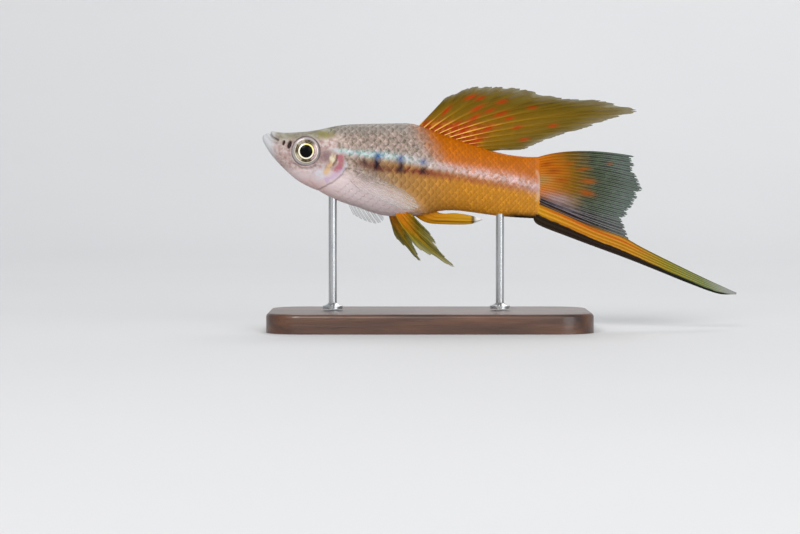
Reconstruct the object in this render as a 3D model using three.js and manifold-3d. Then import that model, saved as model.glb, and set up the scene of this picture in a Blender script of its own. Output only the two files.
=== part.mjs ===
// A male swordtail, life size, swimming nose-up, held on a two-pin display stand.
// Millimetres, +Z up. The fish looks towards -X, and the origin is the centre of the stand's underside.
// A place on the fish is given as s, the level distance behind the snout's tip, and z, the height above
// the floor.
import * as THREE from "three";
import { mergeVertices } from "three/addons/utils/BufferGeometryUtils.js";
import Module from "manifold-3d";

const wasm = await Module();
wasm.setup();

// Driving dimensions
const standardLength = 50;      // snout to the root of the tail fin
const snoutX = -30;             // the snout's tip, from the stand's centre
const touchGap = 0.3;           // between two pieces that meet
const rayHeight = 0.2;          // how far a ray stands out of each side of the membrane
const tailSway = 2.6;           // how far the sword's tip swings to the fish's right
const bodyRings = 46;
const bodySides = 36;
const base = { length: 58, width: 30, height: 3.5, bevel: 0.6, corner: 6 };
const pin = { radius: 0.75, flangeRadius: 1.8, flangeHeight: 0.8, sides: 16 };
const pinStations = [12.6, 42.7];
const wellClear = 8;            // how far to each side a cut right through the body reaches

// A smooth function through hand-set points [s, value], level past both ends
function through(points) {
  const slope = (i) => {
    const a = points[Math.max(i - 1, 0)];
    const b = points[Math.min(i + 1, points.length - 1)];
    return (b[1] - a[1]) / (b[0] - a[0]);
  };
  return (s) => {
    if (s <= points[0][0]) return points[0][1];
    if (s >= points[points.length - 1][0]) return points[points.length - 1][1];
    const i = points.findIndex((p) => p[0] >= s) - 1;
    const [x0, y0] = points[i];
    const [x1, y1] = points[i + 1];
    const h = x1 - x0;
    const t = (s - x0) / h;
    const u = 1 - t;
    const ends = y0 * u * u * (1 + 2 * t) + y1 * t * t * (3 - 2 * t);
    return ends + h * t * u * (slope(i) * u - slope(i + 1) * t);
  };
}

// The body's outline from the side, and half its width from above
const back = through([
  [0, 34.5], [0.12, 34.95], [0.4, 35.1], [1.3, 35.4], [2, 35.65], [3.1, 35.5], [4.4, 35.45], [7.3, 35.6],
  [9.7, 35.9], [12.1, 36.4], [14.5, 36.8], [17, 36.95], [21.8, 37.05], [26, 37.1], [27.5, 36.9], [30.1, 36],
  [32.4, 35.1], [35.3, 34.1], [39.1, 32.8], [41.9, 32], [44.7, 31.4], [47.6, 31.1], [50, 31.1],
]);
const belly = through([
  [0, 34.5], [0.12, 33.95], [0.6, 33], [1.3, 31.9], [2.5, 30.4], [4.9, 28], [6.4, 26.8], [8.5, 25.7],
  [9.7, 25.2], [12.1, 23.9], [14.5, 22.9], [17, 22.1], [19.4, 21.2], [21.8, 20.6], [24.7, 20.4],
  [26.6, 20.35], [29.2, 20.75], [31.9, 21.4], [34.6, 21.5], [37.4, 21.2], [41, 20.7], [44.7, 20.3], [50, 20],
]);
const halfWidth = through([
  [0, 0], [0.12, 0.6], [0.6, 1.15], [1.3, 1.55], [2.5, 2], [5, 2.6], [7.8, 3], [12, 3.55], [16, 3.95],
  [20, 4.1], [24, 4], [28, 3.7], [33, 3.1], [38, 2.45], [43, 1.8], [47, 1.25], [50, 0.85],
]);
const widestAt = through([[0, 0.5], [3, 0.58], [7.8, 0.62], [13, 0.56], [20, 0.5], [50, 0.5]]);
const crownRoundness = through([[0, 2.4], [3, 2.8], [8, 3], [14, 2.4], [22, 2.1], [50, 2]]);
const keelRoundness = through([[0, 2.2], [8, 2], [20, 2.3], [30, 2], [50, 2]]);

// The whole fish bends a little in plan, more towards the tail
function sway(s) {
  const past = Math.max(0, s - 18) / 67.6;
  return tailSway * past * past * (1.6 - 0.6 * past) - 0.4 * Math.exp(-((s / 9) ** 2));
}

// A point of the body's surface at station s and an angle round it, grown outwards by swell
function bodyPoint(s, angle, swell) {
  const at = THREE.MathUtils.clamp(s, 0, standardLength);
  const top = back(at);
  const low = belly(at);
  const mid = low + (top - low) * widestAt(at);
  const upper = Math.sin(angle) > 0;
  const wide = Math.max(halfWidth(at), 0.001);
  const high = Math.max(upper ? top - mid : mid - low, 0.001);
  const power = 2 / (upper ? crownRoundness(at) : keelRoundness(at));
  const across = Math.sign(Math.cos(angle)) * Math.abs(Math.cos(angle)) ** power;
  const up = Math.sign(Math.sin(angle)) * Math.abs(Math.sin(angle)) ** power;
  const out = new THREE.Vector2(Math.cos(angle) / wide, Math.sin(angle) / high).normalize();
  return new THREE.Vector3(snoutX + s, wide * across + swell * out.x, mid + high * up + swell * out.y);
}

// A closed mesh becomes a solid, turned the right way out
function solidFrom(geometry) {
  const bare = geometry.index ? geometry.toNonIndexed() : geometry.clone();
  bare.deleteAttribute("normal");
  bare.deleteAttribute("uv");
  const merged = mergeVertices(bare, 1e-5);
  if (signedVolume(merged) < 0) turnOver(merged);
  return new wasm.Manifold(new wasm.Mesh({
    numProp: 3,
    vertProperties: merged.attributes.position.array,
    triVerts: new Uint32Array(merged.index.array),
  }));
}

function signedVolume(geometry) {
  const p = geometry.attributes.position;
  const [a, b, c] = [new THREE.Vector3(), new THREE.Vector3(), new THREE.Vector3()];
  let sum = 0;
  for (let i = 0; i < geometry.index.count; i += 3) {
    [a, b, c].forEach((v, k) => v.fromBufferAttribute(p, geometry.index.getX(i + k)));
    sum += a.dot(b.cross(c));
  }
  return sum;
}

function turnOver(geometry) {
  const order = geometry.index.array;
  for (let i = 0; i < order.length; i += 3) [order[i + 1], order[i + 2]] = [order[i + 2], order[i + 1]];
}

const largest = (solid) => solid.decompose().sort((a, b) => b.volume() - a.volume())[0];
const withoutSlivers = (solid) => largest(solid.simplify(0.025));

// The whole body, grown by swell: a sphere's rings and sides placed on the outlines
function bodySolid(swell) {
  const shape = new THREE.SphereGeometry(1, bodySides, bodyRings);
  const { position, uv } = shape.attributes;
  for (let i = 0; i < position.count; i += 1) {
    const share = 1 - uv.getY(i);
    const s = (standardLength + 2 * swell) * (1 - (1 - share ** 1.5) ** 1.4) - swell;
    const atEnd = share < 1e-6 || share > 1 - 1e-6;
    const point = bodyPoint(s, uv.getX(i) * 2 * Math.PI, swell);
    if (atEnd) point.set(point.x, 0, (back(s) + belly(s)) / 2);
    position.setXYZ(i, point.x, point.y, point.z);
  }
  return solidFrom(shape);
}

// A block with a side-view outline of [s, z] points, from y = low to y = high
function prism(outline, low = -wellClear, high = wellClear) {
  const shape = new THREE.Shape(outline.map(([s, z]) => new THREE.Vector2(snoutX + s, z)));
  const block = new THREE.ExtrudeGeometry(shape, { depth: high - low, bevelEnabled: false, steps: 1 });
  block.rotateX(Math.PI / 2);
  block.translate(0, high, 0);
  return solidFrom(block);
}

// The same on one side of the fish alone
function sidePrism(outline, side) {
  return side > 0 ? prism(outline, 0.5, wellClear) : prism(outline, -wellClear, -0.5);
}

function ellipsoid(centre, radii, sides = 20) {
  const ball = new THREE.SphereGeometry(1, sides, Math.round(sides * 0.6));
  ball.rotateX(Math.PI / 2);
  ball.scale(...radii);
  ball.translate(snoutX + centre.s, centre.y, centre.z);
  return solidFrom(ball);
}

// A [s, z] polyline moved sideways by distance, to the right of its way
function beside(line, distance) {
  return line.map(([s, z], i) => {
    const [s0, z0] = line[Math.max(i - 1, 0)];
    const [s1, z1] = line[Math.min(i + 1, line.length - 1)];
    const way = new THREE.Vector2(s1 - s0, z1 - z0).normalize();
    return [s + way.y * distance, z - way.x * distance];
  });
}

const wholeBody = bodySolid(0);
const bodyWithGap = bodySolid(touchGap);

// Where the head ends: from the nape down the gill slit to the throat
const gillSlit = [
  [13, 38.5], [13.1, 36.5], [13.4, 33.6], [13.9, 32], [14.6, 31.1], [14.9, 30.1], [14.6, 28.4],
  [13, 26.8], [9.9, 25.1], [8.7, 23.5],
];
const peduncleStart = [[33.9, 40], [34.3, 28], [34.9, 18]];
const pastTail = [[60, 15], [60, 40]];

// Head: mouth, lips, nostrils, eye sockets with a raised rim, and the bed of each gill cover
const eye = { s: 7.8, z: 32, y: 2.4, radius: 2.85, depth: 1.15 };
const mouthLine = [[0.9, 36.1], [1.3, 35.4], [1.9, 34.6], [2.9, 34.1]];
const mouthSlit = 0.26;
const lipWidth = 0.55;
const lipHeight = 0.14;
const nostrils = [{ s: 5, z: 33.1, radius: 0.42 }, { s: 3.7, z: 33.7, radius: 0.28 }];
const coverThickness = 0.6;
const coverProud = 0.18;
const coverFront = [[9.9, 25.3], [8.6, 26.6], [9.4, 28.6], [9.9, 30.6], [11.3, 32.6], [13.5, 33.4]];
const coverBack = gillSlit.slice(3, 8);
const coverOutline = [...coverFront, ...coverBack];

function eyeBall(side, extra = 0) {
  const centre = { s: eye.s, y: side * eye.y, z: eye.z };
  return ellipsoid(centre, [eye.radius + extra, eye.depth + extra, eye.radius + extra]);
}

function gillCover(side) {
  const outer = sidePrism(coverOutline, side).intersect(bodySolid(coverProud));
  const plate = outer.subtract(bodySolid(coverProud - coverThickness));
  return withoutSlivers(plate);
}

function gillBed(side) {
  const wider = [...beside(coverFront, -touchGap), ...coverBack.map(([s, z]) => [s + 1.5, z])];
  return sidePrism(wider, side).subtract(bodySolid(coverProud - coverThickness - touchGap));
}

function head() {
  const region = prism([[-2, 40], ...gillSlit, [-2, 20]]);
  const lipLine = [...mouthLine, [3.3, 33.95]];
  const lipBand = prism([...beside(lipLine, lipWidth), ...beside(lipLine, -lipWidth).reverse()]);
  const lips = lipBand.intersect(bodySolid(lipHeight));
  const slitAbove = beside(mouthLine, mouthSlit / 2).slice(0, 3);
  const slitBelow = beside(mouthLine, -mouthSlit / 2).slice(0, 3).reverse();
  const slit = prism([...slitAbove, mouthLine[3], ...slitBelow]);
  let made = wholeBody.intersect(region).add(lips);
  for (const side of [-1, 1]) {
    made = made.add(eyeBall(side, 0.5).intersect(bodySolid(0.15)));
    made = made.subtract(eyeBall(side, touchGap)).subtract(gillBed(side));
    for (const { s, z, radius } of nostrils) {
      const surface = surfaceY(s, z);
      made = made.subtract(ellipsoid({ s, y: side * surface, z }, [radius, radius * 0.9, radius * 1.3], 8));
    }
  }
  return withoutSlivers(made.subtract(slit));
}

// Half the body's width at station s and height z
function surfaceY(s, z) {
  const low = belly(s);
  const mid = low + (back(s) - low) * widestAt(s);
  const upper = z > mid;
  const power = upper ? crownRoundness(s) : keelRoundness(s);
  const share = Math.abs(z - mid) / (upper ? back(s) - mid : mid - low);
  return halfWidth(s) * (1 - Math.min(share, 1) ** power) ** (1 / power);
}

function torso() {
  const region = prism([...beside(gillSlit, -touchGap), ...beside(peduncleStart, touchGap / 2).reverse()]);
  return withoutSlivers(wholeBody.intersect(region));
}

function peduncle() {
  const region = prism([...beside(peduncleStart, -touchGap / 2), ...pastTail]);
  return withoutSlivers(wholeBody.intersect(region));
}

// A fin: two sheets on one grid, split alike, with a row of vertices along each ray's crest and both its
// feet. centre(a, r) is the middle of the membrane, a across the rays and r from root to margin, from 0 to 1.
function fin({ rays, rows, centre, root, tip, footShare = 0.2, notch = 0.04 }) {
  const columns = [];
  for (let i = 0; i < rays; i += 1) {
    const spacing = 1 / (rays - 1);
    for (const [offset, crest] of [[-footShare, 0], [0, 1], [footShare, 0]]) {
      const a = (i + offset) * spacing;
      if (a >= 0 && a <= 1) columns.push({ a, crest });
    }
  }
  const positions = [];
  const faces = [];
  const at = (column, row) => (column * (rows + 1) + row) * 2;
  for (const { a, crest } of columns) {
    for (let row = 0; row <= rows; row += 1) {
      const r = (row / rows) * (crest ? 1 : 1 - notch);
      const middle = centre(a, r);
      const step = 0.004;
      const along = centre(a, Math.min(r + step, 1)).sub(centre(a, Math.max(r - step, 0)));
      const across = centre(Math.min(a + step, 1), r).sub(centre(Math.max(a - step, 0), r));
      const face = along.cross(across).normalize();
      const web = THREE.MathUtils.lerp(root, tip, r);
      const half = web / 2 + crest * rayHeight * (1 - 0.8 * r);
      for (const offset of [half, -half]) positions.push(...middle.clone().addScaledVector(face, offset));
    }
  }
  const quad = (p, q, t, u) => faces.push(p, q, t, p, t, u);
  const last = columns.length - 1;
  for (let c = 0; c < last; c += 1) {
    for (let row = 0; row < rows; row += 1) {
      const [p, q, t, u] = [at(c, row), at(c + 1, row), at(c + 1, row + 1), at(c, row + 1)];
      quad(p, q, t, u);
      faces.push(p + 1, t + 1, q + 1, p + 1, u + 1, t + 1);
    }
    quad(at(c, 0) + 1, at(c + 1, 0) + 1, at(c + 1, 0), at(c, 0));
    quad(at(c, rows), at(c + 1, rows), at(c + 1, rows) + 1, at(c, rows) + 1);
  }
  for (let row = 0; row < rows; row += 1) {
    quad(at(0, row), at(0, row + 1), at(0, row + 1) + 1, at(0, row) + 1);
    quad(at(last, row) + 1, at(last, row + 1) + 1, at(last, row + 1), at(last, row));
  }
  const sheet = new THREE.BufferGeometry();
  sheet.setAttribute("position", new THREE.Float32BufferAttribute(positions, 3));
  sheet.setIndex(faces);
  return largest(solidFrom(sheet).subtract(bodyWithGap));
}

// A curve through [s, z] points, as a function of a from 0 to 1
function spread(points) {
  const corners = points.map(([s, z]) => new THREE.Vector3(s, 0, z));
  const curve = new THREE.CatmullRomCurve3(corners, false, "centripetal");
  return (a) => curve.getPoint(a);
}

// Rays fan from roots to tips, and leave the root at an angle that turns from first to last; lean(a, r) is y
function fan({ roots, tips, angles, pull = 0.4, lean }) {
  const rootAt = spread(roots);
  const tipAt = spread(tips);
  return (a, r) => {
    const start = rootAt(a);
    const end = tipAt(a);
    const angle = THREE.MathUtils.degToRad(THREE.MathUtils.lerp(angles[0], angles[1], a));
    const reach = start.distanceTo(end) * pull;
    const way = new THREE.Vector3(Math.cos(angle), 0, Math.sin(angle));
    const bend = start.clone().addScaledVector(way, reach);
    const point = new THREE.QuadraticBezierCurve3(start, bend, end).getPoint(r);
    return new THREE.Vector3(snoutX + point.x, lean(a, r), point.z);
  };
}

// The rays of a long fin run side by side from end to end, between its upper and its lower edge
function betweenEdges(upperPoints, lowerPoints) {
  const upper = spread(upperPoints);
  const lower = spread(lowerPoints);
  return (a, r) => {
    const point = upper(r).lerp(lower(r), a);
    return new THREE.Vector3(snoutX + point.x, 0, point.z);
  };
}

function dorsalFin() {
  const centre = fan({
    roots: [[27.6, 36.3], [30.1, 35.2], [32.4, 34.2], [35.3, 33.2], [38.6, 32.2]],
    tips: [[32.9, 41.8], [37.4, 43.6], [41.8, 43.8], [46.8, 43.3], [54.6, 41.6], [61.8, 41.2], [67.5, 39.4],
      [62.6, 37.9], [58.1, 36.3], [53.1, 34.9], [49.7, 33.6], [46.8, 32.5], [42.8, 32.55]],
    angles: [43, -4],
    lean: (a, r) => -1.5 * r * r * Math.sin(Math.PI * (0.15 + 0.6 * a)),
  });
  return fin({ rays: 13, rows: 9, centre, root: 0.62, tip: 0.46 });
}

function tailFan() {
  const centre = fan({
    roots: [[48.9, 30.6], [49.2, 28.9], [49.3, 27], [49.2, 25.2], [48.9, 24]],
    tips: [[67.3, 31.2], [67.1, 29.2], [67.9, 26.8], [68.6, 25.1], [67.6, 23.7], [66.7, 22.3], [65.9, 20.8],
      [64.8, 19.2], [63.9, 18.3]],
    angles: [17, -25],
    lean: (a, r) => 0.5 * r * Math.sin(6 * a),
  });
  return fin({ rays: 16, rows: 7, centre, root: 0.75, tip: 0.42, footShare: 0.24 });
}

// The sword: the tail fin's lowest rays, drawn out behind it
function sword() {
  const centre = betweenEdges(
    [[48.6, 23.7], [50, 23.2], [54.2, 21.45], [59.9, 18.75], [64.6, 16.9], [68.5, 14.75], [74.2, 11.9],
      [80, 9.1], [85.6, 6.55]],
    [[48.6, 20.4], [49.6, 18.9], [54.7, 16.85], [59.9, 14.9], [65.6, 12.8], [71.4, 10.5], [77.1, 8.2],
      [82.2, 6.4], [85.5, 6.25]],
  );
  return fin({ rays: 5, rows: 16, centre, root: 0.9, tip: 0.45, footShare: 0.25, notch: 0 });
}

// The gonopodium: the male's anal fin, drawn out into a rod along the belly
function gonopodium() {
  const centre = betweenEdges(
    [[29.5, 22.4], [32, 21], [34.6, 21], [37.3, 20.6], [39.5, 19.9]],
    [[26.4, 21.2], [29.2, 19.4], [32.4, 19], [37.1, 19], [39.5, 19.75]],
  );
  return fin({ rays: 4, rows: 10, centre, root: 1.1, tip: 0.6, footShare: 0.3, notch: 0 });
}

// Paired fins: side is -1 for the left one and 1 for the right one, which is held differently
const pelvic = {
  "-1": {
    roots: [[23.6, 21.5], [24.6, 21.5], [25.6, 21.4]],
    tips: [[27.9, 14.7], [34.5, 11.3], [31.9, 14.1], [31, 16], [29.9, 17.6], [28.4, 19]],
    angles: [-70, -25],
  },
  1: {
    roots: [[22.7, 21.7], [23.4, 21.6], [24.1, 21.5]],
    tips: [[23.8, 16.6], [28.4, 12.1], [27.6, 14], [26.8, 15.8], [26.1, 17.3], [25.4, 18.6]],
    angles: [-85, -50],
  },
};
const pectoral = {
  "-1": {
    roots: [[15, 29.1], [15, 28.4], [15, 27.7]],
    tips: [[22, 26.6], [25, 25.3], [27.2, 23.8], [28.2, 22.1], [26.6, 21.7], [24.2, 22.2], [21.6, 23.4]],
    angles: [-8, -48],
    spreadOut: 4.6,
  },
  1: {
    roots: [[14.6, 27.9], [14.8, 28.5], [15.1, 29]],
    tips: [[16.2, 20.6], [17.1, 20.1], [18.2, 19.5], [19.4, 19.1], [20.5, 18.9], [21.6, 19.3], [22, 20.6]],
    angles: [-100, -50],
    spreadOut: 4,
  },
};

function pelvicFin(side) {
  const lean = (a, r) => side * (1.3 + 2.7 * r ** 1.2 + 0.8 * a * r);
  const centre = fan({ ...pelvic[side], pull: 0.35, lean });
  return fin({ rays: 6, rows: 7, centre, root: 0.6, tip: 0.42 });
}

function pectoralFin(side) {
  const lean = (a, r) => side * (3 + pectoral[side].spreadOut * r);
  const centre = fan({ ...pectoral[side], pull: 0.45, lean });
  return fin({ rays: 9, rows: 6, centre, root: 0.6, tip: 0.4 });
}

// Display stand: a plain bevelled board and two steel pins up to the belly
function standBase() {
  const { length, width, height, bevel, corner } = base;
  const [x, y] = [length / 2 - bevel, width / 2 - bevel];
  const board = new THREE.Shape();
  board.moveTo(-x + corner, -y);
  board.lineTo(x - corner, -y).absarc(x - corner, -y + corner, corner, -Math.PI / 2, 0);
  board.lineTo(x, y - corner).absarc(x - corner, y - corner, corner, 0, Math.PI / 2);
  board.lineTo(-x + corner, y).absarc(-x + corner, y - corner, corner, Math.PI / 2, Math.PI);
  board.lineTo(-x, -y + corner).absarc(-x + corner, -y + corner, corner, Math.PI, 1.5 * Math.PI);
  const block = new THREE.ExtrudeGeometry(board, {
    depth: height - 2 * bevel, bevelThickness: bevel, bevelSize: bevel, bevelSegments: 1, curveSegments: 5,
  });
  block.translate(0, 0, bevel);
  return solidFrom(block);
}

function standPin(station) {
  const foot = base.height + touchGap;
  const top = belly(station) + 1.5;
  const { radius, flangeRadius, flangeHeight, sides } = pin;
  const profile = [
    [0, foot], [flangeRadius, foot], [flangeRadius, foot + flangeHeight * 0.6],
    [radius + 0.3, foot + flangeHeight], [radius, foot + flangeHeight + 0.3], [radius, top], [0, top],
  ];
  const turned = new THREE.LatheGeometry(profile.map(([x, y]) => new THREE.Vector2(x, y)), sides);
  turned.rotateX(Math.PI / 2);
  turned.translate(snoutX + station, 0, 0);
  return largest(solidFrom(turned).subtract(bodyWithGap));
}

// Materials
function finish(color, roughness, metalness = 0) {
  return new THREE.MeshStandardMaterial({ color, roughness, metalness });
}

const skin = finish(0xd9a05a, 0.4);
const paleSkin = finish(0xc9b6a8, 0.4);
const eyeFinish = finish(0x2a241c, 0.15);
const orangeFin = finish(0xb98a1c, 0.5);
const clearFin = finish(0x9fb0ac, 0.5);
const swordFinish = finish(0xe39a1a, 0.45);
const wood = finish(0x3a2a20, 0.5);
const steel = finish(0xb8b8b8, 0.3, 1);

const swordtail = new THREE.Group();

// One node: the solid as a named mesh; a piece of the fish follows its bend in plan
function addNode(name, solid, material, bends = true) {
  const { numProp, vertProperties, triVerts } = solid.getMesh();
  const positions = new Float32Array((vertProperties.length / numProp) * 3);
  for (let i = 0; i < positions.length / 3; i += 1) {
    const [x, y, z] = vertProperties.subarray(i * numProp, i * numProp + 3);
    positions.set([x, y + (bends ? sway(x - snoutX) : 0), z], i * 3);
  }
  const geometry = new THREE.BufferGeometry();
  geometry.setAttribute("position", new THREE.BufferAttribute(positions, 3));
  geometry.setIndex(new THREE.BufferAttribute(new Uint32Array(triVerts), 1));
  const mesh = new THREE.Mesh(geometry, material);
  mesh.name = name;
  swordtail.add(mesh);
}

addNode("head", head(), paleSkin);
addNode("torso", torso(), skin);
addNode("tail_base", peduncle(), skin);
for (const [side, hand] of [[-1, "left"], [1, "right"]]) {
  addNode(`eye_${hand}`, eyeBall(side), eyeFinish);
  addNode(`gill_cover_${hand}`, gillCover(side), paleSkin);
  addNode(`pectoral_fin_${hand}`, pectoralFin(side), clearFin);
  addNode(`pelvic_fin_${hand}`, pelvicFin(side), orangeFin);
}
addNode("dorsal_fin", dorsalFin(), orangeFin);
addNode("tail_fan", tailFan(), clearFin);
addNode("sword", sword(), swordFinish);
addNode("gonopodium", gonopodium(), swordFinish);
addNode("stand_base", standBase(), wood, false);
addNode("stand_pin_front", standPin(pinStations[0]), steel);
addNode("stand_pin_rear", standPin(pinStations[1]), steel);

export default swordtail;
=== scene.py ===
# %% [markdown]
# # A male swordtail on its display stand
#
# This script dresses a solid model of a small aquarium fish. The solids give the size and the place
# of everything. Here each one gets the surface that the real fish has: skin with overlapping scales,
# glassy eyes, and thin fins with forked rays. Places on the fish are worked out in millimetres, as s,
# the level distance behind the tip of the snout, and z, the height above the table.

import bpy
import numpy as np
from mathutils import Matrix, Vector


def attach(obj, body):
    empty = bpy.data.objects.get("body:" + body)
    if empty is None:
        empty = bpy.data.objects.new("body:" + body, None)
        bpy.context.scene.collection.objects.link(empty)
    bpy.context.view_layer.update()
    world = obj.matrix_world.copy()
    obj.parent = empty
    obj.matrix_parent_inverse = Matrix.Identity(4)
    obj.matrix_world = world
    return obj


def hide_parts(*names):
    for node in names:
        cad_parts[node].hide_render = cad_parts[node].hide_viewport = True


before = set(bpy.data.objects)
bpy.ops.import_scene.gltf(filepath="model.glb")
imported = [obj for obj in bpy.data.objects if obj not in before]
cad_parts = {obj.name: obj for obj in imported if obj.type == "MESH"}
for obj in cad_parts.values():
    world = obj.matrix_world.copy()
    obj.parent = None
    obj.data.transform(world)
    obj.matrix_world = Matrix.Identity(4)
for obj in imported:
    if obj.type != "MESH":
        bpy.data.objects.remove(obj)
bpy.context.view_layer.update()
MM = 0.001
snout_x = -30.0
print("solids:", len(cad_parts))

# %% [markdown]
# ## The camera
#
# The picture is a level side view from far off, so a long lens stands half a metre away, a little
# above the fish. Its frame is 144 mm wide there.

# %% Camera
frame_width = 144.0
frame_centre = (-5.3, 11.3)
camera_distance = 500.0
camera_rise = np.radians(2.0)

camera_data = bpy.data.cameras.new("camera")
camera_data.sensor_width = 36.0
camera_data.lens = camera_data.sensor_width * camera_distance / frame_width
camera_data.clip_start = 0.01
camera = bpy.data.objects.new("camera", camera_data)
bpy.context.scene.collection.objects.link(camera)
target = Vector((frame_centre[0], 0.0, frame_centre[1])) * MM
away = Vector((0.0, -np.cos(camera_rise), np.sin(camera_rise))) * camera_distance * MM
camera.location = target + away
camera.rotation_euler = (-away).to_track_quat("-Z", "Y").to_euler()
bpy.context.scene.camera = camera

# %% [markdown]
# ## Light and table
#
# A large soft lamp above and in front shows the colours, a weaker one fills the shadows, and one
# behind draws a thin bright edge on the fins. The table is one sheet that curves up into the backdrop,
# so that no horizon line crosses the fish.

# %% Lamps
def add_lamp(name, place, size, power, tint=(1.0, 1.0, 1.0)):
    data = bpy.data.lights.new(name, "AREA")
    data.shape = "DISK"
    data.size = size
    data.energy = power
    data.color = tint
    lamp = bpy.data.objects.new(name, data)
    lamp.location = place
    lamp.rotation_euler = (target - lamp.location).to_track_quat("-Z", "Y").to_euler()
    bpy.context.scene.collection.objects.link(lamp)


add_lamp("key", (-0.4, -1.04, 0.8), 0.7, 14.0, (1.0, 0.98, 0.95))
add_lamp("fill", (0.8, -1.1, 0.4), 1.0, 8.8, (0.96, 0.98, 1.0))
add_lamp("rim", (0.2, 0.75, 0.95), 0.7, 5.0)

world = bpy.data.worlds.new("studio")
bpy.context.scene.world = world
world.use_nodes = True
world.node_tree.nodes["Background"].inputs["Color"].default_value = (0.9, 0.93, 0.97, 1.0)
world.node_tree.nodes["Background"].inputs["Strength"].default_value = 0.4
bpy.context.scene.view_settings.view_transform = "Standard"


# %% Starting a piece
def start(add, name, **settings):
    """Adds one primitive with nothing else selected, and names it."""
    bpy.ops.object.select_all(action="DESELECT")
    add(**settings)
    piece = bpy.context.object
    piece.name = name
    piece.data.name = name
    return piece


def select_where(piece, test, kind="faces"):
    """In edit mode, selects only the faces or edges whose middle passes the test."""
    bpy.ops.object.mode_set(mode="OBJECT")
    mesh = piece.data
    for group in (mesh.vertices, mesh.edges, mesh.polygons):
        group.foreach_set("select", [False] * len(group))
    parts = mesh.polygons if kind == "faces" else mesh.edges
    for part in parts:
        corners = [mesh.vertices[i].co for i in part.vertices]
        part.select = bool(test(sum(corners, Vector()) / len(corners), corners))
    bpy.ops.object.mode_set(mode="EDIT")
    bpy.ops.mesh.select_mode(type="FACE" if kind == "faces" else "EDGE")


def coordinates(piece):
    """A piece's vertices as rows of x, y, z."""
    flat = np.empty(len(piece.data.vertices) * 3, np.float32)
    piece.data.vertices.foreach_get("co", flat)
    return flat.reshape(-1, 3).astype(float)


def move_to(piece, points):
    piece.data.vertices.foreach_set("co", np.asarray(points, np.float32).ravel())
    piece.data.update()


def seal(piece):
    """Merges doubled vertices, turns every face outwards and shades it smooth."""
    bpy.ops.object.select_all(action="DESELECT")
    piece.select_set(True)
    bpy.context.view_layer.objects.active = piece
    bpy.ops.object.mode_set(mode="EDIT")
    bpy.ops.mesh.select_all(action="SELECT")
    bpy.ops.mesh.remove_doubles(threshold=1e-7)
    bpy.ops.mesh.normals_make_consistent(inside=False)
    bpy.ops.object.mode_set(mode="OBJECT")
    bpy.ops.object.shade_smooth()
    bpy.ops.object.select_all(action="DESELECT")


def write_values(piece, values):
    """Keeps one number per vertex under each name, for the materials to read."""
    for name, numbers in values.items():
        layer = piece.data.attributes.new(name, "FLOAT", "POINT")
        layer.data.foreach_set("value", np.asarray(numbers, np.float32))


# %% Table and backdrop
floor_half = 1.2
backdrop_y = 1.0
floor_place = (0, backdrop_y - floor_half, 0)
floor = start(bpy.ops.mesh.primitive_plane_add, "floor", size=2 * floor_half, location=floor_place)
select_where(floor, lambda middle, _: middle.y > floor_half - 0.01, "edges")
bpy.ops.mesh.extrude_region_move(TRANSFORM_OT_translate={"value": (0, 0, 1.4)})
select_where(floor, lambda middle, _: middle.y > floor_half - 0.01 and middle.z < 0.01, "edges")
bpy.ops.mesh.bevel(offset=0.6, segments=24)
bpy.ops.object.mode_set(mode="OBJECT")
bpy.ops.object.transform_apply(location=True)
bpy.ops.object.shade_smooth()


# %% [markdown]
# ## Writing materials as sums
#
# A material is a chain of nodes. The class Link holds one output of a node, and knows what to do with
# + - and *, so a line such as 1 - mask adds the right Math node. Every other node comes from
# Finish.node, which is given its type, its settings, and what goes into its sockets.

# %% Links and finishes
class Link:
    def __init__(self, finish, socket):
        self.finish = finish
        self.socket = socket

    def _maths(self, operation, first, second):
        return self.finish.node("ShaderNodeMath", {"operation": operation}, {0: first, 1: second})

    def __add__(self, other):
        return self._maths("ADD", self, other)

    def __sub__(self, other):
        return self._maths("SUBTRACT", self, other)

    def __rsub__(self, other):
        return self._maths("SUBTRACT", other, self)

    def __mul__(self, other):
        return self._maths("MULTIPLY", self, other)

    __radd__ = __add__
    __rmul__ = __mul__


def colour(red, green, blue):
    """A colour as a screen shows it, 0 to 255, turned into the light values that a shader mixes."""
    share = np.array([red, green, blue]) / 255.0
    light = np.where(share <= 0.04045, share / 12.92, ((share + 0.055) / 1.055) ** 2.4)
    return (*light.tolist(), 1.0)


fine_grain = 0.04 * MM


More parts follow.
